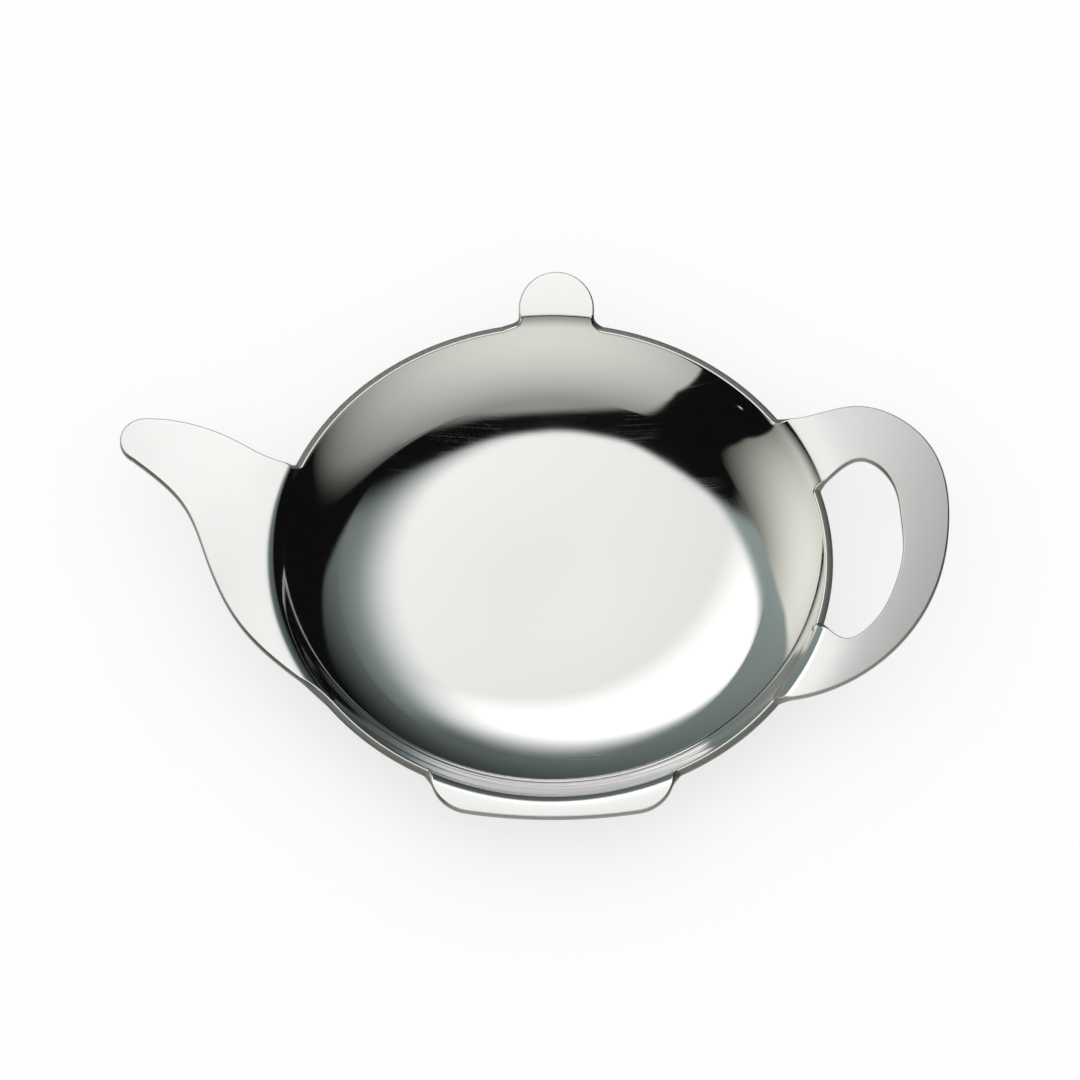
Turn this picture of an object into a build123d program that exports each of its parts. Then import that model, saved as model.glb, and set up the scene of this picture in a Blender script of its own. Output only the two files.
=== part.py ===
import os
from math import cos, radians, sin

from build123d import *

os.makedirs("parts", exist_ok=True)

# Pressed sheet: millimetres and degrees
sheet = 1.0              # thickness of the steel
dish_radius = 41.75      # where the bend over the rim has become flat
base_curve = 90.0        # radius of the gently dished base, on the upper face
base_slope = 15.0        # slope where the base becomes the wall
wall_curve = 18.0        # radius of the wall, on the upper face
wall_slope = 48.0        # steepest slope of the wall
lip_bend = 2.0           # radius from wall to flat tab, on the lower face
lip_start = 15.0         # how far the lip has turned from the wall where the rim is cut

# Spout, on the left: reaches run outwards from dish_radius, crowns along Y from the centre line
spout_reach = 20.85
spout_crown = 23.7
spout_upper_root = 156.0
spout_lower_root = 217.0

# Handle, on the right, and the finger hole in it
handle_reach = 15.65
handle_crown = 25.8
handle_root = 36.5
finger_reach = 9.05
finger_crown = 16.8
finger_upper_root = 16.0
finger_lower_root = 12.0

# Lid knob, at the back
knob_width = 10.9
knob_reach = 6.9
knob_arch = 6.3          # height of its half-oval end
knob_neck = 1.4          # straight length between that end and the flare
knob_offset = 0.6        # to the right of the centre line
knob_flare = 10.5        # half the angle that its root takes on the rim

# Foot, at the front
foot_width = 31.8        # across its two front corners
foot_reach = 2.0
foot_belly = 1.7         # how far its front edge swells from corner to middle
foot_corner = 6.0
foot_root = 27.2         # half the angle that its root takes on the rim

# Points that the curved edges pass, as shares of a tab's reach and crown
spout_upper_shape = [(0.22, 0.855), (-0.15, 0.684)]
spout_mouth_shape = [(0.80, 1.0), (1.0, 0.83), (0.91, 0.705)]
spout_lower_shape = [(0.56, 0.38), (0.405, 0.02), (0.15, -0.49)]
handle_shape = [(-0.33, 0.93), (0.15, 1.0), (0.75, 0.81), (1.0, 0.22), (0.76, -0.355), (0.19, -0.752)]
finger_shape = [
    (-0.04, 0.89),
    (0.33, 1.0),
    (0.80, 0.79),
    (0.955, 0.43),
    (0.99, 0.10),
    (0.83, -0.31),
    (0.46, -0.675),
    (0.08, -0.805),
    (-0.23, -0.69),
]

# Values that follow from those sizes
lip_curve = lip_bend + sheet
trim_slope = wall_slope - lip_start
base_run = (base_curve - wall_curve) * sin(radians(base_slope))
base_lift = (base_curve - wall_curve) * cos(radians(base_slope))
wall_run = (wall_curve + lip_curve) * sin(radians(wall_slope))
wall_lift = (wall_curve + lip_curve) * cos(radians(wall_slope))
floor_radius = dish_radius - base_run - wall_run
height = sheet + base_curve + lip_curve - base_lift - wall_lift
rim_radius = dish_radius - lip_curve * sin(radians(trim_slope))
inner_radius = rim_radius - lip_curve
brim_radius = dish_radius + spout_reach + handle_reach
base_centre = (floor_radius, sheet + base_curve)
wall_centre = (dish_radius - wall_run, height - lip_curve + wall_lift)
lip_centre = (dish_radius, height - lip_curve)


def on_circle(radius, angle):
    return radius * cos(radians(angle)), radius * sin(radians(angle))


def on_tab(shape, side, reach, crown):
    return [(side * (dish_radius + out * reach), up * crown) for out, up in shape]


# Section of the sheet from the cut rim outwards, as a full round brim that the tabs are cut from
with BuildSketch(Plane.XZ) as brim_section:
    with BuildLine():
        upper_lip = CenterArc(lip_centre, lip_curve, 90 + trim_slope, -trim_slope)
        lower_lip = CenterArc(lip_centre, lip_bend, 90, trim_slope)
        Polyline(
            upper_lip @ 1,
            (brim_radius, height),
            (brim_radius, height - sheet),
            lower_lip @ 0,
        )
        Line(lower_lip @ 1, upper_lip @ 0)
    make_face()

# Bowl: small flat floor, dished base, steeper wall and the first degrees of the lip
with BuildPart() as bowl:
    with BuildSketch(Plane.XZ):
        with BuildLine():
            lower_base = CenterArc(base_centre, base_curve + sheet, -90, base_slope)
            CenterArc(wall_centre, wall_curve + sheet, base_slope - 90, wall_slope - base_slope)
            lower_rim = CenterArc(lip_centre, lip_bend, 90 + wall_slope, -lip_start)
            upper_rim = CenterArc(lip_centre, lip_curve, 90 + trim_slope, lip_start)
            CenterArc(wall_centre, wall_curve, wall_slope - 90, base_slope - wall_slope)
            upper_base = CenterArc(base_centre, base_curve, base_slope - 90, -base_slope)
            Polyline(upper_base @ 1, (0, sheet), (0, 0), lower_base @ 0)
            Line(lower_rim @ 1, upper_rim @ 0)
        make_face()
    revolve(axis=Axis.Z)
bowl.part.label = "bowl"
export_step(bowl.part, "parts/bowl.step")

# Spout: an S-curved tab with a blunt rounded mouth
mouth_top, mouth_end, mouth_low = on_tab(spout_mouth_shape, -1, spout_reach, spout_crown)
with BuildPart() as spout:
    revolve(brim_section.sketch, axis=Axis.Z)
    with BuildSketch(Plane.XY):
        with BuildLine():
            upper_edge = Spline(
                mouth_top,
                *on_tab(spout_upper_shape, -1, spout_reach, spout_crown),
                on_circle(rim_radius, spout_upper_root),
                tangents=[(1, 0), (0.6, 0.8)],
            )
            ThreePointArc(mouth_top, mouth_end, mouth_low)
            lower_edge = Spline(
                mouth_low,
                *on_tab(spout_lower_shape, -1, spout_reach, spout_crown),
                on_circle(rim_radius, spout_lower_root),
                tangents=[(0.75, -0.66), (0.77, -0.64)],
            )
            Polyline(
                lower_edge @ 1,
                on_circle(inner_radius, spout_lower_root),
                on_circle(inner_radius, spout_upper_root),
                upper_edge @ 1,
            )
        make_face()
    extrude(amount=height, mode=Mode.INTERSECT)
spout.part.label = "spout"
export_step(spout.part, "parts/spout.step")

# Handle: an ear round a finger hole that the bowl's rim closes on its inner side
with BuildPart() as handle:
    revolve(brim_section.sketch, axis=Axis.Z)
    with BuildSketch(Plane.XY):
        with BuildLine():
            outer_edge = Spline(
                on_circle(rim_radius, handle_root),
                *on_tab(handle_shape, 1, handle_reach, handle_crown),
                on_circle(rim_radius, -handle_root),
            )
            Polyline(
                outer_edge @ 1,
                on_circle(inner_radius, -handle_root),
                on_circle(inner_radius, handle_root),
                outer_edge @ 0,
            )
        make_face()
        with BuildLine():
            hole_edge = Spline(
                on_circle(inner_radius, finger_upper_root),
                *on_tab(finger_shape, 1, finger_reach, finger_crown),
                on_circle(inner_radius, -finger_lower_root),
            )
            Line(hole_edge @ 1, hole_edge @ 0)
        make_face(mode=Mode.SUBTRACT)
    extrude(amount=height, mode=Mode.INTERSECT)
handle.part.label = "handle"
export_step(handle.part, "parts/handle.step")

# Lid knob: a half oval on a short neck that flares into the rim
neck_y = dish_radius + knob_reach - knob_arch
with BuildPart() as lid_knob:
    revolve(brim_section.sketch, axis=Axis.Z)
    with BuildSketch(Plane.XY):
        with BuildLine():
            arch = EllipticalCenterArc(
                (knob_offset, neck_y), knob_width / 2, knob_arch, start_angle=0, arc_size=180
            )
            right_neck = Line(arch @ 0, arch @ 0 - (0, knob_neck))
            left_neck = Line(arch @ 1, arch @ 1 - (0, knob_neck))
            right_flare = Spline(
                right_neck @ 1,
                on_circle(rim_radius, 90 - knob_flare),
                tangents=[(0, -1), (1, -0.5)],
            )
            left_flare = Spline(
                left_neck @ 1,
                on_circle(rim_radius, 90 + knob_flare),
                tangents=[(0, -1), (-1, -0.5)],
            )
            Polyline(
                right_flare @ 1,
                on_circle(inner_radius, 90 - knob_flare),
                on_circle(inner_radius, 90 + knob_flare),
                left_flare @ 1,
            )
        make_face()
    extrude(amount=height, mode=Mode.INTERSECT)
lid_knob.part.label = "lid_knob"
export_step(lid_knob.part, "parts/lid_knob.step")

# Foot: a low wide tab with rounded corners
foot_y = -(dish_radius + foot_reach)
with BuildPart() as foot:
    revolve(brim_section.sketch, axis=Axis.Z)
    with BuildSketch(Plane.XY) as foot_outline:
        with BuildLine():
            front = ThreePointArc(
                (-foot_width / 2, foot_y + foot_belly),
                (0, foot_y),
                (foot_width / 2, foot_y + foot_belly),
            )
            Polyline(
                front @ 1,
                on_circle(rim_radius, foot_root - 90),
                on_circle(inner_radius, foot_root - 90),
                on_circle(inner_radius, -foot_root - 90),
                on_circle(rim_radius, -foot_root - 90),
                front @ 0,
            )
        make_face()
        fillet(foot_outline.vertices().sort_by(Axis.Y)[:2], foot_corner)
    extrude(amount=height, mode=Mode.INTERSECT)
foot.part.label = "foot"
export_step(foot.part, "parts/foot.step")
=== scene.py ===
from cmath import phase
from math import ceil, cos, pi, radians, sin, sqrt

import bpy
import numpy as np
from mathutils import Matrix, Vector
from mathutils.geometry import delaunay_2d_cdt
from mathutils.kdtree import KDTree


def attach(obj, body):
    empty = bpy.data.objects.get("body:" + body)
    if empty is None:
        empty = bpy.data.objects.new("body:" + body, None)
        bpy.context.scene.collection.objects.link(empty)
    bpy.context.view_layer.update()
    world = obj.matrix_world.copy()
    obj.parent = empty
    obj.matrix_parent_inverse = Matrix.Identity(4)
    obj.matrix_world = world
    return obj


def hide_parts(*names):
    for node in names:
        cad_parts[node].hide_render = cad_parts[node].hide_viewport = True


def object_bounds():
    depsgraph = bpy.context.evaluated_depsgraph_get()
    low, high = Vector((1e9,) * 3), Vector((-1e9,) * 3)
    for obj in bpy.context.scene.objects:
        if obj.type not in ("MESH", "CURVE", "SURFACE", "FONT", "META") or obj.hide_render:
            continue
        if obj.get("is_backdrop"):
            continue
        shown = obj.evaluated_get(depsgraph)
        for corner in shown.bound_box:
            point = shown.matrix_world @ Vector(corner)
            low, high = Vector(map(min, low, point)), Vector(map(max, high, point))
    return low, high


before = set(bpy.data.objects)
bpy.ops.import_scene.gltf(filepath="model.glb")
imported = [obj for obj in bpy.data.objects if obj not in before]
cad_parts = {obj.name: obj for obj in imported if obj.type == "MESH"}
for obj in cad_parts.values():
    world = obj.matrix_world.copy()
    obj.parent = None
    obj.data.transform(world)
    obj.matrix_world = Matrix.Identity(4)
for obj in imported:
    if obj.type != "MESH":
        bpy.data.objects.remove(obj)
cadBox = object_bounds()
print("frame loaded:", sorted(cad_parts))

mm = 0.001

# The pressing, in millimetres and degrees
pressing = {
    "sheet": 1.0,         # thickness of the steel
    "dishRadius": 41.75,  # where the bend over the rim has become flat
    "baseCurve": 90.0,    # radius of the gently dished base
    "baseSlope": 15.0,    # slope where the base becomes the wall
    "wallCurve": 18.0,    # radius of the wall
    "wallSlope": 48.0,    # steepest slope of the wall
    "lipCurve": 3.0,      # radius from wall to tab
    "lipStart": 15.0,     # turn of the lip where the rim is cut
    "easeStart": 1.32,    # where the shading starts to ease from the bend into the flat tab
    "easeSlope": 0.37,    # slope there
    "easeRun": 1.8,       # length over which it dies away
    "tabRoll": 0.2,       # width of the broken upper edge round the tabs
    "rimRoll": 0.8,       # the same along the free rim
    "rollSlope": 0.9,     # slope of that broken edge
    "rollBend": 0.38,     # share of it that bends over, the rest is flat and matte, darkened with painted shade like the cut faces
    "burrBreak": 0.1,     # rounding of the lower edge
}
baseSlope, wallSlope = radians(pressing["baseSlope"]), radians(pressing["wallSlope"])
curveStep = pressing["baseCurve"] - pressing["wallCurve"]
bendSum = pressing["wallCurve"] + pressing["lipCurve"]
lipRadius = pressing["dishRadius"] - pressing["lipCurve"] * sin(wallSlope)
wallRadius = lipRadius - pressing["wallCurve"] * (sin(wallSlope) - sin(baseSlope))
floorRadius = wallRadius - pressing["baseCurve"] * sin(baseSlope)
rise = pressing["baseCurve"] + pressing["lipCurve"] - curveStep * cos(baseSlope) - bendSum * cos(wallSlope)
trimSlope = wallSlope - radians(pressing["lipStart"])
rimRadius = pressing["dishRadius"] - pressing["lipCurve"] * sin(trimSlope)
innerRadius = rimRadius - pressing["lipCurve"]

# How finely the flat blank is divided, in millimetres
blank = {
    "outlineStep": 0.4,
    "rollSteps": 12,      # loops across the rounded edge
    "baseStep": 1.6,
    "wallStep": 0.8,
    "lipStep": 0.22,
    "tabStep": 1.6,
    "clearOfEdge": 0.3,   # free points keep this far from the edge loops
}


def onCircle(radius, angle):
    return radius * cos(radians(angle)), radius * sin(radians(angle))


def tabPoints(tab, shape, side):
    reach, crown = tab["reach"], tab["crown"]
    return [(side * (pressing["dishRadius"] + out * reach), up * crown) for out, up in tab[shape]]


def unitWay(way):
    return np.array(way, float) / np.linalg.norm(way)


# A smooth line through a few points, with its end directions given or left free
def splineLine(points, startWay=None, endWay=None):
    knots = np.array(points, float)
    runs = np.linalg.norm(np.diff(knots, axis=0), axis=1)
    chords = np.diff(knots, axis=0) / runs[:, None]
    count = len(knots)
    system = np.zeros((count, count))
    target = np.zeros((count, 2))
    for i in range(1, count - 1):
        before, after = runs[i - 1], runs[i]
        system[i, i - 1:i + 2] = after, 2 * (before + after), before
        target[i] = 3 * (after * chords[i - 1] + before * chords[i])
    for end, way in ((0, startWay), (-1, endWay)):
        near, nextOne = (0, 1) if end == 0 else (-1, -2)
        if way is not None:
            system[end, end] = 1
            target[end] = unitWay(way)
            continue
        both = runs[near] + runs[nextOne]
        system[end, end] = runs[nextOne]
        system[end, nextOne] = both
        nearPart = (runs[near] + 2 * both) * runs[nextOne] * chords[near]
        target[end] = (nearPart + runs[near] ** 2 * chords[nextOne]) / both
    slopes = np.linalg.solve(system, target)
    pieces = []
    for i in range(count - 1):
        steps = max(2, ceil(runs[i] / blank["outlineStep"]))
        t = (np.arange(steps) / steps)[:, None]
        pieces.append(
            knots[i] * (2 * t**3 - 3 * t**2 + 1)
            + knots[i + 1] * (3 * t**2 - 2 * t**3)
            + slopes[i] * runs[i] * (t**3 - 2 * t**2 + t)
            + slopes[i + 1] * runs[i] * (t**3 - t**2)
        )
    return np.vstack([*pieces, knots[-1:]])


def sweepLine(centre, width, height, start, turn):
    steps = max(2, ceil(abs(turn) * max(width, height) / blank["outlineStep"]))
    angles = start + np.linspace(0, turn, steps + 1)
    return np.column_stack([centre[0] + width * np.cos(angles), centre[1] + height * np.sin(angles)])


def arcLine(first, middle, last):
    a, b, c = complex(*first), complex(*middle), complex(*last)
    ratio = (c - a) / (b - a)
    centre = a + (b - a) * (ratio - abs(ratio) ** 2) / (2j * ratio.imag)
    turn = phase((b - centre) / (a - centre)) + phase((c - centre) / (b - centre))
    radius = abs(a - centre)
    return sweepLine((centre.real, centre.imag), radius, radius, phase(a - centre), turn)


def rimLine(startAngle, endAngle):
    turn = radians(endAngle - startAngle)
    return sweepLine((0, 0), rimRadius, rimRadius, radians(startAngle), turn)


def joinLines(*lines):
    return np.vstack([line[:-1] for line in lines[:-1]] + [lines[-1]])


# Spout: reaches run outwards from dishRadius, crowns along Y, shapes are shares of both
spoutTab = {
    "reach": 20.85,
    "crown": 23.7,
    "upperRoot": 156.0,
    "lowerRoot": 217.0,
    "upperShape": [(0.22, 0.855), (-0.15, 0.684)],
    "mouthShape": [(0.80, 1.0), (1.0, 0.83), (0.91, 0.705)],
    "lowerShape": [(0.56, 0.38), (0.405, 0.02), (0.15, -0.49)],
    "upperWays": [(1, 0), (0.6, 0.8)],    # directions at the ends of its upper and lower edge
    "lowerWays": [(0.75, -0.66), (0.77, -0.64)],
}


def spoutLine():
    mouth = tabPoints(spoutTab, "mouthShape", -1)
    upper = splineLine(
        [mouth[0], *tabPoints(spoutTab, "upperShape", -1), onCircle(rimRadius, spoutTab["upperRoot"])],
        *spoutTab["upperWays"],
    )
    lower = splineLine(
        [mouth[2], *tabPoints(spoutTab, "lowerShape", -1), onCircle(rimRadius, spoutTab["lowerRoot"])],
        *spoutTab["lowerWays"],
    )
    return joinLines(upper[::-1], arcLine(*mouth), lower)


# Handle, an ear round the finger hole
handleTab = {
    "reach": 15.65,
    "crown": 25.8,
    "root": 36.5,
    "shape": [(-0.33, 0.93), (0.15, 1.0), (0.75, 0.81), (1.0, 0.22), (0.76, -0.355), (0.19, -0.752)],
}


def handleLine():
    root = handleTab["root"]
    ends = [onCircle(rimRadius, root), onCircle(rimRadius, -root)]
    return splineLine([ends[0], *tabPoints(handleTab, "shape", 1), ends[1]])[::-1]


fingerHole = {
    "reach": 9.05,
    "crown": 16.8,
    "upperRoot": 16.0,
    "lowerRoot": -12.0,
    "shape": [
        (-0.04, 0.89),
        (0.33, 1.0),
        (0.80, 0.79),
        (0.955, 0.43),
        (0.99, 0.10),
        (0.83, -0.31),
        (0.46, -0.675),
        (0.08, -0.805),
        (-0.23, -0.69),
    ],
}


# The hole's edge, cut off where the rim closes it
def fingerLine():
    ends = [onCircle(innerRadius, fingerHole[root]) for root in ("upperRoot", "lowerRoot")]
    line = splineLine([ends[0], *tabPoints(fingerHole, "shape", 1), ends[1]])
    radii = np.linalg.norm(line, axis=1)
    outside = np.flatnonzero(radii > rimRadius)
    first, last = outside[0], outside[-1]
    crossings = []
    for inner, outer in ((first - 1, first), (last + 1, last)):
        share = (rimRadius - radii[inner]) / (radii[outer] - radii[inner])
        crossing = line[inner] + share * (line[outer] - line[inner])
        crossings.append(crossing * rimRadius / np.linalg.norm(crossing))
    return np.vstack([crossings[:1], line[first:last + 1], crossings[1:]])


# Lid knob, a half oval on a flared neck
lidKnob = {
    "width": 10.9,
    "reach": 6.9,
    "arch": 6.3,
    "neck": 1.4,
    "offset": 0.6,
    "flare": 10.5,
    "flareWay": -0.5,
}


def knobLine():
    centre = (lidKnob["offset"], pressing["dishRadius"] + lidKnob["reach"] - lidKnob["arch"])
    arch = sweepLine(centre, lidKnob["width"] / 2, lidKnob["arch"], 0, pi)
    rightRoot = onCircle(rimRadius, 90 - lidKnob["flare"])
    leftRoot = onCircle(rimRadius, 90 + lidKnob["flare"])
    down = (0, -1)
    neckEnds = [arch[end] + np.array(down) * lidKnob["neck"] for end in (0, -1)]
    right = joinLines(
        splineLine([arch[0], neckEnds[0]], down, down),
        splineLine([neckEnds[0], rightRoot], down, (1, lidKnob["flareWay"])),
    )
    left = joinLines(
        splineLine([arch[-1], neckEnds[1]], down, down),
        splineLine([neckEnds[1], leftRoot], down, (-1, lidKnob["flareWay"])),
    )
    return joinLines(right[::-1], arch, left)


# Foot, a low wide tab with a bellied front and round corners
frontFoot = {"width": 31.8, "reach": 2.0, "belly": 1.7, "corner": 6.0, "root": 27.2}


def footLine():
    half, belly, corner = frontFoot["width"] / 2, frontFoot["belly"], frontFoot["corner"]
    low = -(pressing["dishRadius"] + frontFoot["reach"])
    bellyRadius = (half**2 + belly**2) / (2 * belly)
    bellyCentre = np.array([0, low + bellyRadius])
    root = np.array(onCircle(rimRadius, frontFoot["root"] - 90))
    tip = np.array([half, low + belly])
    way = unitWay(root - tip)
    start = tip + corner * np.array([-way[1], way[0]]) - bellyCentre
    slip = -start @ way + sqrt((start @ way) ** 2 - start @ start + (bellyRadius - corner) ** 2)
    slip = min(slip, -2 * (start @ way) - slip, key=abs)
    centre = bellyCentre + start + slip * way
    sideTouch = tip + slip * way
    frontTouch = bellyCentre + unitWay(centre - bellyCentre) * bellyRadius
    middle = centre + unitWay((sideTouch + frontTouch) / 2 - centre) * corner
    side = splineLine([sideTouch, root], way, way)
    rightHalf = joinLines(arcLine(frontTouch, middle, sideTouch), side)
    mirrored = rightHalf[::-1] * (-1, 1)
    front = arcLine(frontTouch * (-1, 1), (0, low), frontTouch)
    return joinLines(mirrored, front, rightHalf)


# The two cut edges of the blank, each with the steel on its left
def cutLoops():
    knobRight, knobLeft = 90 - lidKnob["flare"], 90 + lidKnob["flare"]
    footLeft, footRight = 270 - frontFoot["root"], 270 + frontFoot["root"]
    outer = joinLines(
        handleLine(),
        rimLine(handleTab["root"], knobRight),
        knobLine(),
        rimLine(knobLeft, spoutTab["upperRoot"]),
        spoutLine(),
        rimLine(spoutTab["lowerRoot"], footLeft),
        footLine(),
        rimLine(footRight, 360 - handleTab["root"]),
    )
    finger = fingerLine()
    lowAngle, highAngle = (np.degrees(np.arctan2(p[1], p[0])) for p in (finger[-1], finger[0]))
    hole = joinLines(finger, rimLine(lowAngle, highAngle))
    return [outer[:-1], hole[:-1]], (lowAngle, highAngle)


def outwardWays(loop):
    along = np.roll(loop, -1, axis=0) - np.roll(loop, 1, axis=0)
    along /= np.linalg.norm(along, axis=1)[:, None]
    return np.column_stack([along[:, 1], -along[:, 0]])


def isSteel(points, loops):
    inside = np.zeros(len(points), bool)
    for loop in loops:
        for a, b in zip(loop, np.roll(loop, -1, axis=0)):
            if a[1] == b[1]:
                continue
            crosses = (a[1] > points[:, 1]) != (b[1] > points[:, 1])
            crossing = (b[0] - a[0]) * (points[:, 1] - a[1]) / (b[1] - a[1]) + a[0]
            inside ^= crosses & (points[:, 0] < crossing)
    return inside


# Distance to the nearest cut edge, and the way out over it
def edgeFields(points, loops):
    corners = np.vstack(loops)
    ways = np.vstack([outwardWays(loop) for loop in loops])
    nextOne = np.concatenate([
        np.roll(np.arange(len(loop)), -1) + sum(map(len, loops[:k])) for k, loop in enumerate(loops)
    ])
    before = np.argsort(nextOne)
    tree = KDTree(len(corners))
    for i, corner in enumerate(corners):
        tree.insert((*corner, 0), i)
    tree.balance()
    nearest = np.array([tree.find((*point, 0))[1] for point in points])
    gap = np.full(len(points), np.inf)
    out = np.zeros((len(points), 2))
    for start in (nearest, before[nearest]):
        a, b = corners[start], corners[nextOne[start]]
        run = b - a
        t = np.clip(np.sum((points - a) * run, axis=1) / np.sum(run * run, axis=1), 0, 1)[:, None]
        distance = np.linalg.norm(points - a - t * run, axis=1)
        way = ways[start] * (1 - t) + ways[nextOne[start]] * t
        closer = distance < gap
        gap[closer] = distance[closer]
        out[closer] = way[closer]
    out /= np.linalg.norm(out, axis=1)[:, None]
    return gap, out


# Points inside the blank: rings that follow the bends, and a grid on the flat tabs
def fillPoints(loops):
    radii = [
        *np.arange(blank["baseStep"], wallRadius, blank["baseStep"]),
        *np.arange(wallRadius, lipRadius, blank["wallStep"]),
        *np.arange(lipRadius, pressing["dishRadius"] + blank["lipStep"], blank["lipStep"]),
    ]
    points = [(0.0, 0.0)]
    for k, radius in enumerate(radii):
        spacing = blank["baseStep"] if radius < wallRadius else blank["wallStep"]
        count = round(2 * pi * radius / spacing)
        points += [onCircle(radius, 360 * (i + k % 2 / 2) / count) for i in range(count)]
    step = blank["tabStep"]
    reach = pressing["dishRadius"] + max(spoutTab["reach"], handleTab["reach"])
    for x in np.arange(-reach, reach, step):
        for y in np.arange(-reach, reach, step):
            if x * x + y * y > (pressing["dishRadius"] + step) ** 2:
                points.append((x, y))
    points = np.array(points)
    points = points[isSteel(points, loops)]
    gap = edgeFields(points, loops)[0]
    points = points[gap > pressing["rimRoll"] + blank["clearOfEdge"]]
    offRim = np.abs(np.linalg.norm(points, axis=1) - rimRadius)
    return points[offRim > blank["lipStep"] / 2]


# The flat blank as triangles, with an edge along each root where a tab leaves the bowl
def cutBlank():
    loops, (lowAngle, highAngle) = cutLoops()
    coords, edges = [], []

    def addLine(line, closed):
        first = len(coords)
        coords.extend(Vector(point) for point in line)
        edges.extend((i, i + 1) for i in range(first, len(coords) - 1))
        if closed:
            edges.append((len(coords) - 1, first))

    for loop in loops:
        ways = outwardWays(loop)
        for step in range(blank["rollSteps"] + 1):
            depth = pressing["rimRoll"] * (1 - cos(pi / 2 * step / blank["rollSteps"]))
            addLine(loop - ways * depth, True)
    root = handleTab["root"]
    for start, end in (
        (-root, lowAngle),
        (highAngle, root),
        (90 - lidKnob["flare"], 90 + lidKnob["flare"]),
        (spoutTab["upperRoot"], spoutTab["lowerRoot"]),
        (270 - frontFoot["root"], 270 + frontFoot["root"]),
    ):
        addLine(rimLine(start, end), False)
    coords.extend(Vector(point) for point in fillPoints(loops))
    verts, _, faces = delaunay_2d_cdt(coords, edges, [], 0, 1e-6)[:3]
    verts = np.array([tuple(v) for v in verts])
    faces = np.array(faces)
    middles = verts[faces].mean(axis=1)
    keep = isSteel(middles, loops)
    gap, out = edgeFields(verts, loops)
    return verts, faces[keep], middles[keep], gap, out


# Small helpers for node trees
def wire(tree, socket, value):
    if isinstance(value, bpy.types.NodeSocket):
        tree.links.new(value, socket)
    else:
        socket.default_value = value


def addNode(tree, kind, inputs=None, **settings):
    node = tree.nodes.new(kind)
    for name, value in settings.items():
        setattr(node, name, value)
    for name, value in (inputs or {}).items():
        wire(tree, node.inputs[name], value)
    return node


def calc(tree, operation, *values, clamp=False):
    inputs = dict(enumerate(values))
    return addNode(tree, "ShaderNodeMath", inputs, operation=operation, use_clamp=clamp).outputs[0]


def mixed(tree, share, low, high):
    return calc(tree, "ADD", low, calc(tree, "MULTIPLY", share, calc(tree, "SUBTRACT", high, low)))


def cosineOf(tree, sine):
    return calc(tree, "SQRT", calc(tree, "SUBTRACT", 1.0, calc(tree, "MULTIPLY", sine, sine)))


def upWay(tree, height):
    return addNode(tree, "ShaderNodeCombineXYZ", {"Z": height}).outputs[0]


def vecCalc(tree, operation, *values):
    node = addNode(tree, "ShaderNodeVectorMath", dict(enumerate(values)), operation=operation)
    return node.outputs["Value" if operation in ("LENGTH", "DOT_PRODUCT") else "Vector"]


def scaled(tree, vector, factor):
    return addNode(tree, "ShaderNodeVectorMath", {0: vector, "Scale": factor}, operation="SCALE").outputs[0]


def named(tree, name, kind):
    return addNode(tree, "GeometryNodeInputNamedAttribute", {"Name": name}, data_type=kind).outputs[0]


def stored(tree, geometry, name, value, selection=True, kind="FLOAT_VECTOR"):
    return addNode(
        tree,
        "GeometryNodeStoreNamedAttribute",
        {"Geometry": geometry, "Selection": selection, "Name": name, "Value": value},
        data_type=kind,
        domain="POINT",
    ).outputs[0]


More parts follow.
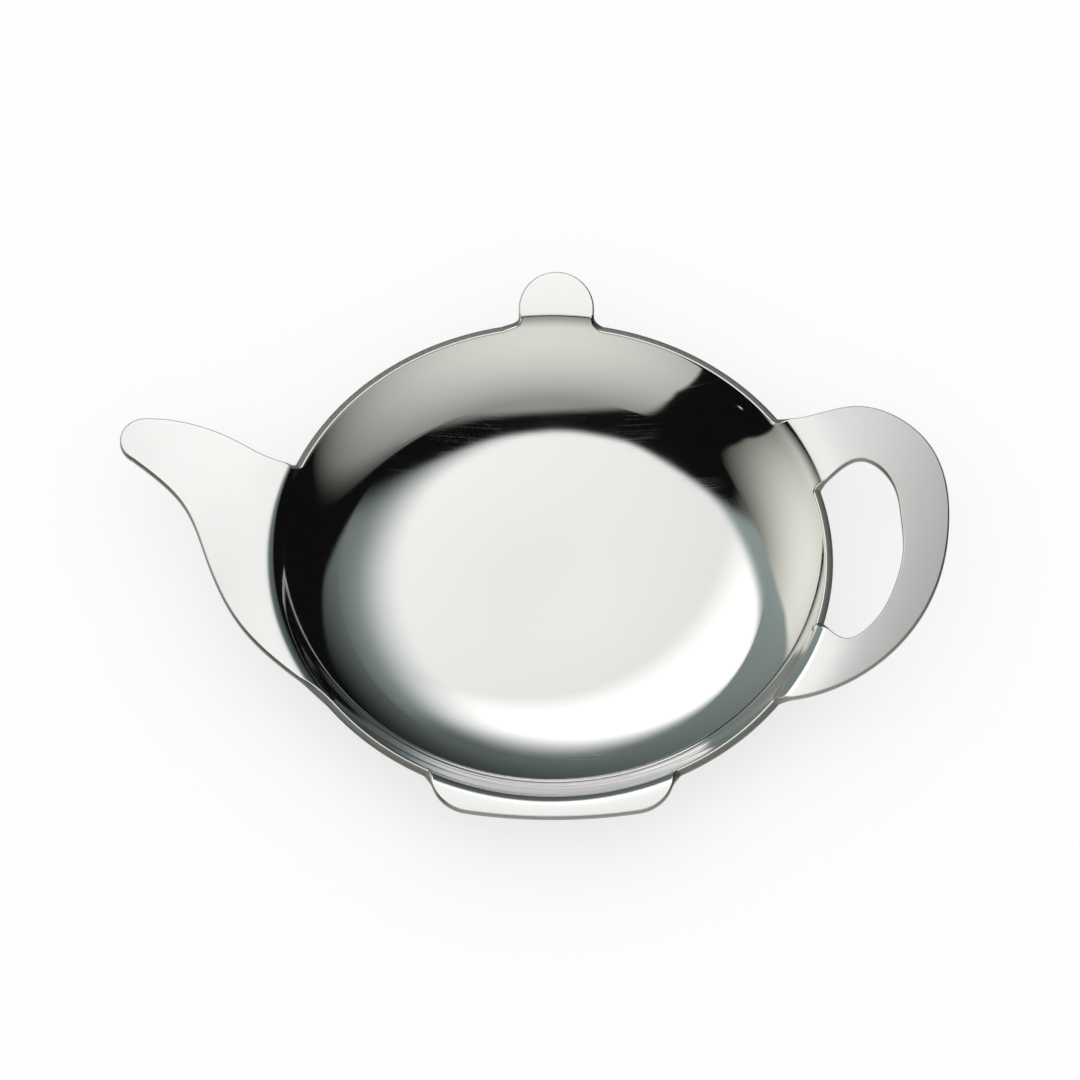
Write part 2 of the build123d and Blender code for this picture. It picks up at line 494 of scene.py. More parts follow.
# Geometry Nodes press: lifts the blank into the dish, then gives the sheet its thickness and edges
def pressTree():
    tree = bpy.data.node_groups.new("pressSheet", "GeometryNodeTree")
    sizes = (
        "Sheet",
        "Floor Radius",
        "Base Curve",
        "Base Slope",
        "Wall Radius",
        "Wall Curve",
        "Dish Radius",
        "Lip Curve",
        "Ease Start",
        "Ease Slope",
        "Ease Run",
        "Rise",
        "Trim Slope",
        "Tab Roll",
        "Rim Roll",
        "Roll Slope",
        "Roll Bend",
        "Burr Break",
    )
    tree.interface.new_socket("Blank", in_out="INPUT", socket_type="NodeSocketGeometry")
    for name in sizes:
        tree.interface.new_socket(name, in_out="INPUT", socket_type="NodeSocketFloat")
    tree.interface.new_socket("Lean", in_out="INPUT", socket_type="NodeSocketVector")
    for name in ("Steel", "Cut Steel"):
        tree.interface.new_socket(name, in_out="INPUT", socket_type="NodeSocketMaterial")
    tree.interface.new_socket("Pressing", in_out="OUTPUT", socket_type="NodeSocketGeometry")
    given = tree.nodes.new("NodeGroupInput").outputs
    position = tree.nodes.new("GeometryNodeInputPosition").outputs[0]
    radius = vecCalc(tree, "LENGTH", position)
    radial = vecCalc(tree, "NORMALIZE", position)

    # Slope at this radius, from the curve of the base, the wall or the lip
    baseSin = calc(tree, "SINE", given["Base Slope"])
    baseCos = calc(tree, "COSINE", given["Base Slope"])
    onBase = calc(tree, "DIVIDE", calc(tree, "SUBTRACT", radius, given["Floor Radius"]), given["Base Curve"])
    onWall = calc(tree, "DIVIDE", calc(tree, "SUBTRACT", radius, given["Wall Radius"]), given["Wall Curve"])
    onWall = calc(tree, "ADD", onWall, baseSin)
    onLip = calc(tree, "DIVIDE", calc(tree, "SUBTRACT", given["Dish Radius"], radius), given["Lip Curve"])
    onDish = calc(tree, "MAXIMUM", onBase, onWall)
    slopeSin = calc(tree, "MAXIMUM", calc(tree, "MINIMUM", onDish, onLip), 0.0)
    slopeCos = cosineOf(tree, slopeSin)
    fall = calc(tree, "SUBTRACT", 1.0, slopeCos)
    baseHeight = calc(tree, "MULTIPLY", given["Base Curve"], fall)
    wallFall = calc(tree, "SUBTRACT", baseCos, slopeCos)
    baseEnd = calc(tree, "MULTIPLY", given["Base Curve"], calc(tree, "SUBTRACT", 1.0, baseCos))
    wallHeight = calc(tree, "ADD", calc(tree, "MULTIPLY", given["Wall Curve"], wallFall), baseEnd)
    lipHeight = calc(tree, "SUBTRACT", given["Rise"], calc(tree, "MULTIPLY", given["Lip Curve"], fall))

    dishHeight = mixed(tree, calc(tree, "GREATER_THAN", onWall, onBase), baseHeight, wallHeight)
    lifted = mixed(tree, calc(tree, "LESS_THAN", onLip, onDish), dishHeight, lipHeight)
    height = calc(tree, "ADD", lifted, given["Sheet"])

    def facing(sine):
        up = upWay(tree, cosineOf(tree, sine))
        return vecCalc(tree, "SUBTRACT", up, scaled(tree, radial, sine))

    normal = facing(slopeSin)

    # Shading that eases from the bend into the tab, which leans a little
    past = calc(tree, "SUBTRACT", radius, calc(tree, "SUBTRACT", given["Dish Radius"], given["Ease Start"]))
    runs = calc(tree, "DIVIDE", calc(tree, "MAXIMUM", past, 0.0), given["Ease Run"])
    faded = calc(tree, "EXPONENT", calc(tree, "MULTIPLY", runs, -1.0))
    fading = calc(tree, "MULTIPLY", given["Ease Slope"], faded)
    bending = calc(tree, "DIVIDE", calc(tree, "MINIMUM", past, 0.0), given["Lip Curve"])
    eased = calc(tree, "MINIMUM", onDish, calc(tree, "SUBTRACT", fading, bending))
    shading = facing(calc(tree, "MAXIMUM", eased, 0.0))
    onTab = calc(tree, "SUBTRACT", 1.0, faded)
    shading = vecCalc(tree, "ADD", shading, scaled(tree, given["Lean"], onTab))

    # The way out over a cut edge, laid along the sloping sheet
    edgeOut = named(tree, "edgeOut", "FLOAT_VECTOR")
    climb = calc(tree, "MULTIPLY", vecCalc(tree, "DOT_PRODUCT", edgeOut, radial), slopeSin)
    climbWay = upWay(tree, calc(tree, "DIVIDE", climb, slopeCos))
    sheetOut = vecCalc(tree, "NORMALIZE", vecCalc(tree, "ADD", edgeOut, climbWay))

    def edgeShare(size):
        gapShare = calc(tree, "DIVIDE", named(tree, "edgeGap", "FLOAT"), size)
        return calc(tree, "SUBTRACT", 1.0, gapShare, clamp=True)

    # Broken upper edge: its inner share bends over, the rest is flat
    trimSine = calc(tree, "SINE", given["Trim Slope"])
    onRim = calc(tree, "DIVIDE", slopeSin, trimSine, clamp=True)
    rollSize = mixed(tree, onRim, given["Tab Roll"], given["Rim Roll"])
    topShare = edgeShare(rollSize)
    bent = calc(tree, "MINIMUM", topShare, given["Roll Bend"])
    turn = calc(tree, "DIVIDE", bent, given["Roll Bend"])
    straight = calc(tree, "SUBTRACT", topShare, bent)
    fallen = calc(tree, "ADD", calc(tree, "MULTIPLY", calc(tree, "MULTIPLY", bent, turn), 0.5), straight)
    topDrop = calc(tree, "MULTIPLY", calc(tree, "MULTIPLY", fallen, rollSize), given["Roll Slope"])
    rollSlope = calc(tree, "MULTIPLY", turn, given["Roll Slope"])
    topNormal = vecCalc(tree, "NORMALIZE", vecCalc(tree, "ADD", shading, scaled(tree, sheetOut, rollSlope)))

    # Rounded lower edge
    share = edgeShare(given["Burr Break"])
    level = cosineOf(tree, share)
    underRise = calc(tree, "MULTIPLY", given["Burr Break"], calc(tree, "SUBTRACT", 1.0, level))
    underNormal = vecCalc(tree, "SUBTRACT", scaled(tree, sheetOut, share), scaled(tree, normal, level))
    thickness = calc(tree, "SUBTRACT", calc(tree, "SUBTRACT", given["Sheet"], underRise), topDrop)
    lift = vecCalc(tree, "SUBTRACT", upWay(tree, height), scaled(tree, normal, topDrop))
    geometry = stored(tree, given["Blank"], "pressNormal", topNormal)
    geometry = stored(tree, geometry, "underNormal", underNormal)
    geometry = stored(tree, geometry, "rollShare", topShare, kind="FLOAT")
    through = scaled(tree, normal, calc(tree, "MULTIPLY", thickness, -1.0))
    geometry = stored(tree, geometry, "throughWay", through)
    top = addNode(tree, "GeometryNodeSetPosition", {"Geometry": geometry, "Offset": lift}).outputs[0]
    throughWay = named(tree, "throughWay", "FLOAT_VECTOR")
    underWay = named(tree, "underNormal", "FLOAT_VECTOR")

    # Underside
    under = addNode(tree, "GeometryNodeSetPosition", {"Geometry": top, "Offset": throughWay}).outputs[0]
    under = stored(tree, under, "pressNormal", underWay)
    under = stored(tree, under, "rollShare", 0.0, kind="FLOAT")
    under = addNode(tree, "GeometryNodeFlipFaces", {"Mesh": under}).outputs[0]

    # Cut faces between the two
    neighbours = addNode(tree, "GeometryNodeInputMeshEdgeNeighbors").outputs[0]
    isOpen = addNode(tree, "FunctionNodeCompare", data_type="INT", operation="EQUAL")
    wire(tree, isOpen.inputs[2], neighbours)
    wire(tree, isOpen.inputs[3], 1)
    cut = addNode(
        tree,
        "GeometryNodeExtrudeMesh",
        {"Mesh": top, "Selection": isOpen.outputs[0], "Offset Scale": 0.0},
        mode="EDGES",
    )
    walled = stored(tree, cut.outputs["Mesh"], "pressNormal", underWay, cut.outputs["Top"])
    walled = stored(tree, walled, "rollShare", 0.0, cut.outputs["Top"], "FLOAT")
    walled = addNode(
        tree,
        "GeometryNodeSetPosition",
        {"Geometry": walled, "Selection": cut.outputs["Top"], "Offset": throughWay},
    ).outputs[0]
    joined = tree.nodes.new("GeometryNodeJoinGeometry")
    tree.links.new(under, joined.inputs[0])
    tree.links.new(walled, joined.inputs[0])
    merged = addNode(tree, "GeometryNodeMergeByDistance", {"Geometry": joined.outputs[0], "Distance": 1e-7})
    smooth = addNode(tree, "GeometryNodeSetShadeSmooth", {"Geometry": merged.outputs[0]}).outputs[0]
    whole = addNode(tree, "GeometryNodeRealizeInstances", {"Geometry": smooth}).outputs[0]
    steel = addNode(tree, "GeometryNodeSetMaterial", {"Geometry": whole, "Material": given["Steel"]})
    # Cut faces and the flat of the broken edge take the cut steel, whose darker tint is partly painted shade
    rolled = calc(tree, "GREATER_THAN", named(tree, "rollShare", "FLOAT"), given["Roll Bend"])
    isCut = addNode(tree, "FunctionNodeBooleanMath", {0: cut.outputs["Side"], 1: rolled}, operation="OR")
    done = addNode(
        tree,
        "GeometryNodeSetMaterial",
        {"Geometry": steel.outputs[0], "Selection": isCut.outputs[0], "Material": given["Cut Steel"]},
    )
    tree.links.new(done.outputs[0], tree.nodes.new("NodeGroupOutput").inputs[0])
    return tree


def newMaterial(name):
    material = bpy.data.materials.new(name)
    material.use_nodes = True
    return material, material.node_tree, material.node_tree.nodes["Principled BSDF"]


# Shared finish groups
def newGroup(name, inputs, outputs):
    tree = bpy.data.node_groups.new(name, "ShaderNodeTree")
    for label, value in inputs.items():
        tree.interface.new_socket(label, in_out="INPUT", socket_type="NodeSocketFloat").default_value = value
    for label in outputs:
        tree.interface.new_socket(label, in_out="OUTPUT", socket_type="NodeSocketFloat")
    given = tree.nodes.new("NodeGroupInput").outputs
    result = tree.nodes.new("NodeGroupOutput").inputs
    coords = tree.nodes.new("ShaderNodeTexCoord").outputs["Object"]
    return tree, given, result, coords


def noise(tree, vector, scale, detail=2.0, roughness=0.5):
    return addNode(
        tree,
        "ShaderNodeTexNoise",
        {"Vector": vector, "Scale": scale, "Detail": detail, "Roughness": roughness},
    ).outputs[0]


def remap(tree, value, low, high, outLow=0.0, outHigh=1.0):
    return addNode(
        tree,
        "ShaderNodeMapRange",
        {"Value": value, "From Min": low, "From Max": high, "To Min": outLow, "To Max": outHigh},
        interpolation_type="SMOOTHSTEP",
    ).outputs[0]


def stretched(tree, vector, x, y, z):
    factors = addNode(tree, "ShaderNodeCombineXYZ", {"X": x, "Y": y, "Z": z}).outputs[0]
    return vecCalc(tree, "MULTIPLY", vector, factors)


polishLook = {
    "along": 50.0,             # noise cells per metre along the lines
    "across": 9000.0,          # and across them
    "sparse": 0.6,             # height at which a hairline starts
    "edge": 0.08,              # and how much higher it is full
    "patches": 90.0,           # cells per metre of the patches that hairlines keep to
    "patchRange": (0.42, 0.62),
    "shift": (0.31, 0.17, 0.0),
}


# Straight lines that polishing left along X: an even grain, and single hairlines that come and go
def grainGroup():
    inputs = {
        "Along": polishLook["along"],
        "Across": polishLook["across"],
        "Turn": 0.0,
        "Sparse": polishLook["sparse"],
    }
    tree, given, result, coords = newGroup("polishGrain", inputs, ["Grain", "Hairline"])
    turned = addNode(
        tree, "ShaderNodeVectorRotate", {"Vector": coords, "Angle": given["Turn"]}, rotation_type="Z_AXIS"
    ).outputs[0]
    along, across = given["Along"], given["Across"]
    grain = noise(tree, stretched(tree, turned, along, across, along), 1.0, detail=3.0, roughness=0.6)
    wire(tree, result["Grain"], grain)
    shifted = vecCalc(tree, "ADD", turned, polishLook["shift"])
    lines = noise(tree, stretched(tree, shifted, along, across, along), 1.0, detail=1.0, roughness=0.4)
    dense = calc(tree, "ADD", given["Sparse"], polishLook["edge"])
    lines = remap(tree, lines, given["Sparse"], dense)
    patches = remap(tree, noise(tree, coords, polishLook["patches"]), *polishLook["patchRange"])
    wire(tree, result["Hairline"], calc(tree, "MULTIPLY", lines, patches))
    return tree


wipeLook = {
    "clouds": 60.0,            # cells per metre
    "cloudRange": (0.35, 0.7),
    "specks": 260.0,
    "speckSize": (0.05, 0.025),
    "rare": 180.0,
    "rareRange": (0.6, 0.64),
}


# Haze of wiping: broad soft clouds and sparse specks
def hazeGroup():
    inputs = {"Clouds": wipeLook["clouds"], "Specks": wipeLook["specks"]}
    tree, given, result, coords = newGroup("wipeHaze", inputs, ["Haze", "Speck"])
    clouds = noise(tree, coords, given["Clouds"], detail=4.0, roughness=0.6)
    wire(tree, result["Haze"], remap(tree, clouds, *wipeLook["cloudRange"]))
    dots = addNode(tree, "ShaderNodeTexVoronoi", {"Vector": coords, "Scale": given["Specks"]}, feature="F1")
    rare = remap(tree, noise(tree, coords, wipeLook["rare"]), *wipeLook["rareRange"])
    small = remap(tree, dots.outputs["Distance"], *wipeLook["speckSize"])
    wire(tree, result["Speck"], calc(tree, "MULTIPLY", rare, small))
    return tree


drawLook = {
    "fineness": 2600.0,        # rings per metre
    "drift": 1.6,              # how much they change on their way round
    "lipFade": 4.0,            # millimetres of wall over which they grow
    "tabFade": (-1.2, 0.8),    # where dish finish becomes tab finish, in millimetres from dishRadius
}


# Rings that drawing the sheet over the die left on the wall, and which part of the steel is tab
def drawGroup():
    inputs = {"Fineness": drawLook["fineness"]}
    tree, given, result, coords = newGroup("drawMarks", inputs, ["Rings", "Lip", "Tab"])
    level = vecCalc(tree, "MULTIPLY", coords, (1.0, 1.0, 0.0))
    radius = vecCalc(tree, "LENGTH", level)
    ringWay = upWay(tree, calc(tree, "MULTIPLY", radius, given["Fineness"]))
    drift = scaled(tree, vecCalc(tree, "NORMALIZE", level), drawLook["drift"])
    rings = noise(tree, vecCalc(tree, "ADD", ringWay, drift), 1.0, detail=3.0, roughness=0.6)
    wire(tree, result["Rings"], rings)
    wire(tree, result["Lip"], remap(tree, radius, (lipRadius - drawLook["lipFade"]) * mm, lipRadius * mm))
    tabStart, tabEnd = ((pressing["dishRadius"] + step) * mm for step in drawLook["tabFade"])
    wire(tree, result["Tab"], remap(tree, radius, tabStart, tabEnd))
    return tree


steelLook = {
    "dishTint": 0.80,
    "tabTint": 0.92,
    "dishRough": 0.03,
    "tabRough": 0.24,
    "hazeRough": 0.02,
    "lineRough": 0.07,    # hairlines and specks in the dish
    "grainDepth": 0.02,   # on the tabs
    "dishGrain": 0.1,     # share of it in the dish
    "ringDepth": 0.018,   # on the lip
    "slantTurn": 0.5,     # second set of hairlines, in radians
    "slantSparse": 0.68,
    "bumpReach": 0.0001,
}


def steelMaterial():
    material, tree, shader = newMaterial("polishedSteel")
    grain = addNode(tree, "ShaderNodeGroup", node_tree=grainGroup())
    slant = addNode(tree, "ShaderNodeGroup", node_tree=grain.node_tree)
    slant.inputs["Turn"].default_value = steelLook["slantTurn"]
    slant.inputs["Sparse"].default_value = steelLook["slantSparse"]
    haze = addNode(tree, "ShaderNodeGroup", node_tree=hazeGroup()).outputs
    draw = addNode(tree, "ShaderNodeGroup", node_tree=drawGroup()).outputs
    shader.inputs["Metallic"].default_value = 1.0
    tint = mixed(tree, draw["Tab"], steelLook["dishTint"], steelLook["tabTint"])
    wire(tree, shader.inputs["Base Color"], tint)
    marks = calc(tree, "MAXIMUM", grain.outputs["Hairline"], slant.outputs["Hairline"])
    marks = calc(tree, "MAXIMUM", marks, haze["Speck"])
    rough = mixed(tree, draw["Tab"], steelLook["dishRough"], steelLook["tabRough"])
    rough = calc(tree, "ADD", rough, calc(tree, "MULTIPLY", haze["Haze"], steelLook["hazeRough"]))
    lineRough = mixed(tree, draw["Tab"], steelLook["lineRough"], 0.0)
    rough = calc(tree, "ADD", rough, calc(tree, "MULTIPLY", marks, lineRough))
    wire(tree, shader.inputs["Roughness"], rough)
    grainShare = mixed(tree, draw["Tab"], steelLook["dishGrain"], 1.0)
    lineDepth = calc(tree, "MULTIPLY", grainShare, steelLook["grainDepth"])
    ringDepth = calc(tree, "MULTIPLY", draw["Lip"], steelLook["ringDepth"])
    lines = calc(tree, "MULTIPLY", grain.outputs["Grain"], lineDepth)
    rings = calc(tree, "MULTIPLY", draw["Rings"], ringDepth)
    height = calc(tree, "ADD", lines, rings)
    bump = addNode(tree, "ShaderNodeBump", {"Distance": steelLook["bumpReach"], "Height": height})
    bump.inputs["Strength"].default_value = 1.0
    wire(tree, shader.inputs["Normal"], bump.outputs[0])
    return material


# Cut faces and the flat of the broken upper edge: rough steel whose dark olive-grey tint is partly the cut's
# own grey and partly painted shade, darker than the steel itself, in place of the shade these faces reflect
cutLook = {
    "tint": (0.34, 0.345, 0.32, 1),
    "rough": (0.38, 0.6),      # smooth and torn
    "tearRange": (0.3, 0.7),
    "tears": (5000.0, 5000.0, 700.0),    # noise cells per metre
    "tearDepth": 0.25,
    "bumpReach": 0.0001,
}


def cutMaterial():
    material, tree, shader = newMaterial("shearedEdgeShaded")
    shader.inputs["Metallic"].default_value = 1.0
    shader.inputs["Base Color"].default_value = cutLook["tint"]
    coords = tree.nodes.new("ShaderNodeTexCoord").outputs["Object"]
    cells = vecCalc(tree, "MULTIPLY", coords, cutLook["tears"])
    tears = noise(tree, cells, 1.0, detail=3.0, roughness=0.6)
    wire(tree, shader.inputs["Roughness"], remap(tree, tears, *cutLook["tearRange"], *cutLook["rough"]))
    bump = addNode(tree, "ShaderNodeBump", {"Distance": cutLook["bumpReach"], "Height": tears})
    bump.inputs["Strength"].default_value = cutLook["tearDepth"]
    wire(tree, shader.inputs["Normal"], bump.outputs[0])
    return material


# Each piece's share of the blank, and how its face leans to the right and back, in the shading only
pieces = {
    "dishBowl": {"node": "bowl", "lean": (0.0, 0.0, 0.0)},
    "handleEar": {"node": "handle", "angles": (-50, 50), "lean": (0.012, -0.05, 0.0)},
    "knobTab": {"node": "lid_knob", "angles": (60, 120), "lean": (0.0, 0.0, 0.0)},
    "spoutHorn": {"node": "spout", "angles": (140, 230), "lean": (0.0, 0.02, 0.0)},
    "footTab": {"node": "foot", "angles": (235, 305), "lean": (0.0, 0.0, 0.0)},
}


def pieceFaces(piece, faces, middles):
    radii = np.linalg.norm(middles, axis=1)
    if "angles" not in piece:
        return faces[radii < rimRadius]
    low, high = piece["angles"]
    turn = (np.degrees(np.arctan2(middles[:, 1], middles[:, 0])) - low) % 360
    return faces[(radii > rimRadius) & (turn < high - low)]


def blankMesh(name, verts, faces, gap, out):
    used, local = np.unique(faces, return_inverse=True)
    flat = np.column_stack([verts[used], np.zeros(len(used))]) * mm
    mesh = bpy.data.meshes.new(name)
    mesh.from_pydata(flat.tolist(), [], local.reshape(-1, 3).tolist())
    gaps = (gap[used] * mm).astype(np.float32)
    mesh.attributes.new("edgeGap", "FLOAT", "POINT").data.foreach_set("value", gaps)
    ways = np.column_stack([out[used], np.zeros(len(used))]).astype(np.float32)
    mesh.attributes.new("edgeOut", "FLOAT_VECTOR", "POINT").data.foreach_set("vector", ways.ravel())
    return mesh


def pressPiece(name, mesh, lean, tree, steel, cutSteel):
    piece = bpy.data.objects.new(name, mesh)
    bpy.context.scene.collection.objects.link(piece)
    values = {
        "Sheet": pressing["sheet"] * mm,
        "Floor Radius": floorRadius * mm,
        "Base Curve": pressing["baseCurve"] * mm,
        "Base Slope": baseSlope,
        "Wall Radius": wallRadius * mm,
        "Wall Curve": pressing["wallCurve"] * mm,
        "Dish Radius": pressing["dishRadius"] * mm,
        "Lip Curve": pressing["lipCurve"] * mm,
        "Ease Start": pressing["easeStart"] * mm,
        "Ease Slope": pressing["easeSlope"],
        "Ease Run": pressing["easeRun"] * mm,
        "Lean": lean,
        "Rise": rise * mm,
        "Trim Slope": trimSlope,
        "Tab Roll": pressing["tabRoll"] * mm,
        "Rim Roll": pressing["rimRoll"] * mm,
        "Roll Slope": pressing["rollSlope"],
        "Roll Bend": pressing["rollBend"],
        "Burr Break": pressing["burrBreak"] * mm,
        "Steel": steel,
        "Cut Steel": cutSteel,
    }
    press = piece.modifiers.new("press", "NODES")
    press.node_group = tree
    for socket in tree.interface.items_tree:
        if socket.name in values:
            press[socket.identifier] = values[socket.name]
    pressed = piece.evaluated_get(bpy.context.evaluated_depsgraph_get())
    solid = bpy.data.meshes.new_from_object(pressed)
    piece.modifiers.clear()
    piece.data = solid
    normals = np.empty(len(solid.vertices) * 3, np.float32)
    solid.attributes["pressNormal"].data.foreach_get("vector", normals)
    solid.normals_split_custom_set_from_vertices(normals.reshape(-1, 3).tolist())
    for attribute in ("pressNormal", "underNormal", "rollShare", "throughWay", "edgeGap", "edgeOut"):
        solid.attributes.remove(solid.attributes[attribute])
    bpy.data.meshes.remove(mesh)
    return piece


verts, faces, middles, edgeGap, edgeOut = cutBlank()
print("blank cut:", len(verts), "points", len(faces), "triangles")
polishedSteel, shearedEdgeShaded = steelMaterial(), cutMaterial()
sheetPress = pressTree()
for name, piece in pieces.items():
    mesh = blankMesh(name, verts, pieceFaces(piece, faces, middles), edgeGap, edgeOut)
    pressed = pressPiece(name, mesh, piece["lean"], sheetPress, polishedSteel, shearedEdgeShaded)
    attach(pressed, "root")
    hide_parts(piece["node"])
    print("pressed:", name, len(pressed.data.polygons), "faces")


# Studio: a white floor, and a tent of soft panels that only the steel's reflections see
studio = {
    "floorHalf": 1.5,
    "floorWhite": 0.99,
    "floorGlow": 0.5,     # share of plain white that lightens the shadow
    "tentRadius": 0.26,
    "dark": 0.005,
}


# Panels, each over those before it. An outline is corners on the sky, counterclockwise, in degrees
# right and back of straight up, each with the softness of the edge that starts there.
# A light is the brightest of its planes, each a level and its slope over the sky
panels = {
    "front": {
        "outlines": [
            [(-9.6, 9.4, 0.012), (-38, -33, 0.03), (-56, -75, 0.05), (0, -97, 0.05), (40, -95, 0.1),
             (22, 11.8, 0.012)],
            [(-10.6, 6, 0.012), (-41.5, -33.8, 0.03), (-50, -70, 0.05), (0, -60, 0.05), (0, -20, 0.05)],
            [(-16, -4.6, 0.012), (-67.4, -53.8, 0.03), (-30, -80, 0.05), (0, -40, 0.05)],
            [(2, 9.6, 0.05), (0, -60, 0.05), (92, -60, 0.05), (98, 8, 0.13), (13, 13, 0.012)],
        ],
        "planes": [(-0.15, (0.05, -0.78, 0.62))],
        "most": 0.87,
        "tint": (1.0, 1.0, 0.93),
    },
    "left": {
        "outlines": [
            [(-20.3, 12.8, 0.015), (-16.5, 24, 0.05), (-14, 40, 0.05), (-40, 85, 0.05), (-95, 55, 0.05),
             (-96, -12, 0.012), (-71, -6.7, 0.012), (-45, -1, 0.012), (-31, 5.7, 0.012)],
        ],
        "planes": [(-2.11, (-2.3, 1.74, 1.0))],
        "most": 1.0,
        "tint": (1.0, 1.0, 0.9),
    },
    "back": {
        "outlines": [
            [(-24, 30.5, 0.02), (-12.6, 19.4, 0.012), (-7, 14.7, 0.012), (-1, 13.1, 0.012), (5, 14, 0.012),
             (13.6, 18.4, 0.03), (18.3, 22.4, 0.06), (32.6, 32.6, 0.07), (38.6, 43, 0.07), (41, 57, 0.06),
             (43, 80, 0.03), (43, 95, 0.05), (-48, 95, 0.03), (-46, 61, 0.02), (-38, 45, 0.02)],
        ],
        "planes": [(0.37, (-0.26, -0.29, 0.05))],
        "most": 0.5,
        "tint": (0.83, 1.0, 0.96),
        "lamp": {
            "sky": (-2.0, 32.9),
            "halfWidth": 15.0,          # degrees
            "halfHeight": 19.7,
            "turn": 0.232,
            "power": 2.2,               # 2 is an ellipse, more is squarer
            "soft": (0.05, 0.22),       # of its left and right edge
            "softRange": (-0.3, 1.0),   # where it changes from one to the other
            "softSlant": 0.3,           # how far that slants upwards
            "planes": [(0.85, (0.28, -0.085, 0.25)), (11.73, (-1.82, -3.54, -11.22))],
            "most": 1.7,
            "tint": (1.0, 1.0, 0.975),
            "spill": 0.27,              # light beside its right edge
            "spillReach": 1.42,         # where that ends, in half widths
            "spillSide": (0.2, 0.75),   # where it grows towards the right
            "spillTop": (0.95, 0.65),   # where it ends towards the top
            "spillFoot": (-0.8, 0.1),   # and towards the bottom
            "spillTint": (0.9, 0.97, 1.0),
        },
    },
    "glint": {
        "outlines": [
            [(-57, -15.4, 0.006), (-56.6, -16.6, 0.006), (-55, -16.6, 0.006), (-55.4, -15.4, 0.006)],
        ],
        "planes": [(0.8, (0.0, 0.0, 0.0))],
        "most": 0.8,
        "tint": (1.0, 1.0, 1.0),
    },
}


def skyWay(right, back):
    tilt = radians(sqrt(right**2 + back**2))
    return Vector((right, back, 0)).normalized() * sin(tilt) + Vector((0, 0, cos(tilt)))


def outlineMask(tree, way, outline):
    corners = [skyWay(right, back) for right, back, _ in outline]
    mask = 1.0
    for start, end, (_, _, soft) in zip(corners, corners[1:] + corners[:1], outline):
        side = vecCalc(tree, "DOT_PRODUCT", way, start.cross(end).normalized())
        mask = calc(tree, "MULTIPLY", mask, remap(tree, side, -soft, soft))
    return mask


def lampMask(tree, way, lamp):
    middle = skyWay(*lamp["sky"])
    across = Vector((0, 1, 0)).cross(middle).normalized()
    along = middle.cross(across)
    wide = across * cos(lamp["turn"]) + along * sin(lamp["turn"])
    tall = along * cos(lamp["turn"]) - across * sin(lamp["turn"])
    shares = [
        vecCalc(tree, "DOT_PRODUCT", way, axis / sin(radians(half)))
        for axis, half in ((wide, lamp["halfWidth"]), (tall, lamp["halfHeight"]))
    ]
    powers = [calc(tree, "POWER", calc(tree, "ABSOLUTE", share), lamp["power"]) for share in shares]
    reach = calc(tree, "POWER", calc(tree, "ADD", *powers), 1 / lamp["power"])
    slant = calc(tree, "ADD", shares[0], calc(tree, "MULTIPLY", shares[1], lamp["softSlant"]))
    soft = remap(tree, slant, *lamp["softRange"], *lamp["soft"])
    inside = remap(tree, reach, calc(tree, "ADD", 1.0, soft), calc(tree, "SUBTRACT", 1.0, soft))
    facing = calc(tree, "GREATER_THAN", vecCalc(tree, "DOT_PRODUCT", way, middle), 0.0)
    spill = remap(tree, reach, 1.0, lamp["spillReach"], lamp["spill"], 0.0)
    for share, fade in ((shares[0], "spillSide"), (shares[1], "spillTop"), (shares[1], "spillFoot")):
        spill = calc(tree, "MULTIPLY", spill, remap(tree, share, *lamp[fade]))
    return [calc(tree, "MULTIPLY", facing, share) for share in (inside, spill)]


def planeLight(tree, way, light):
    level = studio["dark"]
    for base, slope in light["planes"]:
        plane = calc(tree, "ADD", vecCalc(tree, "DOT_PRODUCT", way, slope), base)
        level = calc(tree, "MAXIMUM", level, plane)
    return scaled(tree, light["tint"], calc(tree, "MINIMUM", level, light["most"]))


def paintOver(tree, below, above, mask):
    step = vecCalc(tree, "SUBTRACT", above, below)
    return vecCalc(tree, "ADD", below, scaled(tree, step, mask))


def tentMaterial():
    material, tree, shader = newMaterial("tentPanels")
    tree.nodes.remove(shader)
    coords = tree.nodes.new("ShaderNodeTexCoord").outputs["Object"]
    way = vecCalc(tree, "NORMALIZE", coords)
    glow = (studio["dark"],) * 3
    for panel in panels.values():
        light = planeLight(tree, way, panel)
        if "lamp" in panel:
            lamp = panel["lamp"]
            inside, spill = lampMask(tree, way, lamp)
            light = vecCalc(tree, "ADD", light, scaled(tree, lamp["spillTint"], spill))
            light = paintOver(tree, light, planeLight(tree, way, lamp), inside)
        mask = 0.0
        for outline in panel["outlines"]:
            mask = calc(tree, "MAXIMUM", mask, outlineMask(tree, way, outline))
        glow = paintOver(tree, glow, light, mask)
    emission = addNode(tree, "ShaderNodeEmission", {"Color": glow, "Strength": 1.0})
    output = tree.nodes["Material Output"]
    tree.links.new(emission.outputs[0], output.inputs["Surface"])
    material.cycles.emission_sampling = "NONE"
    return material


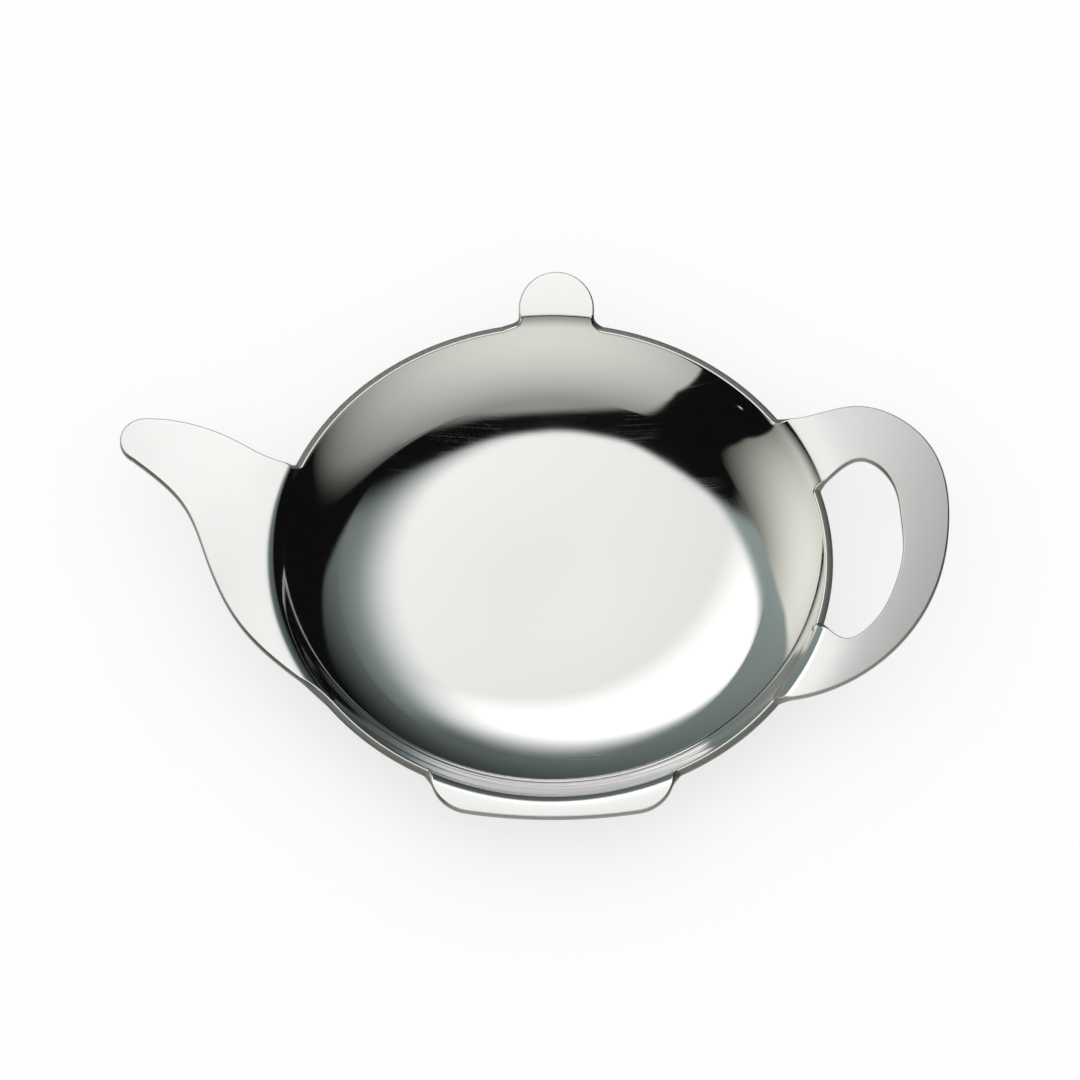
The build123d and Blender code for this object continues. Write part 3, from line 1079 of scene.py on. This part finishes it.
# White paint that keeps a light shadow
def floorMaterial():
    material, tree, shader = newMaterial("floorPaint")
    shader.inputs["Base Color"].default_value = (*(studio["floorWhite"],) * 3, 1)
    shader.inputs["Roughness"].default_value = 1.0
    shader.inputs["Specular IOR Level"].default_value = 0.0
    glow = addNode(tree, "ShaderNodeEmission", {"Strength": 1.0})
    rays = tree.nodes.new("ShaderNodeLightPath").outputs
    seen = calc(tree, "ADD", rays["Is Camera Ray"], rays["Is Glossy Ray"], clamp=True)
    share = calc(tree, "MULTIPLY", seen, studio["floorGlow"])
    mix = addNode(tree, "ShaderNodeMixShader", {0: share, 1: shader.outputs[0], 2: glow.outputs[0]})
    tree.links.new(mix.outputs[0], tree.nodes["Material Output"].inputs["Surface"])
    material.cycles.emission_sampling = "NONE"
    return material


def buildStudio():
    bpy.ops.mesh.primitive_plane_add(size=2 * studio["floorHalf"])
    floor = bpy.context.object
    floor.name = "paleFloor"
    floor.data.materials.append(floorMaterial())
    floor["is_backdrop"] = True
    bpy.ops.mesh.primitive_uv_sphere_add(segments=96, ring_count=48, radius=studio["tentRadius"])
    tent = bpy.context.object
    tent.name = "lightTent"
    tent.data.shade_smooth()
    tent.data.materials.append(tentMaterial())
    tent.visible_camera = False
    tent.visible_diffuse = False
    tent.visible_shadow = False
    tent.visible_transmission = False
    tent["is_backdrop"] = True
    world = bpy.data.worlds.new("studioWhite")
    world.use_nodes = True
    world.node_tree.nodes["Background"].inputs["Color"].default_value = (1, 1, 1, 1)
    bpy.context.scene.world = world


# Camera: a long lens, so the view is close to parallel
view = {"elevation": 58.6, "distance": 6.0, "frameWidth": 0.15614, "aim": (-0.00178, 0.00216, 0.01172)}


def buildCamera():
    data = bpy.data.cameras.new("photoView")
    data.sensor_width = 36.0
    data.lens = data.sensor_width * view["distance"] / view["frameWidth"]
    camera = bpy.data.objects.new("photoView", data)
    bpy.context.scene.collection.objects.link(camera)
    tilt = radians(view["elevation"])
    camera.location = Vector(view["aim"]) + Vector((0, -cos(tilt), sin(tilt))) * view["distance"]
    camera.rotation_euler = (pi / 2 - tilt, 0, 0)
    bpy.context.scene.camera = camera


buildStudio()
buildCamera()
bpy.context.scene.view_settings.view_transform = "Standard"
print("studio and camera set")

boxes = {"cad": cadBox, "visual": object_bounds()}
boxes = {name: [list(corner) for corner in box] for name, box in boxes.items()}
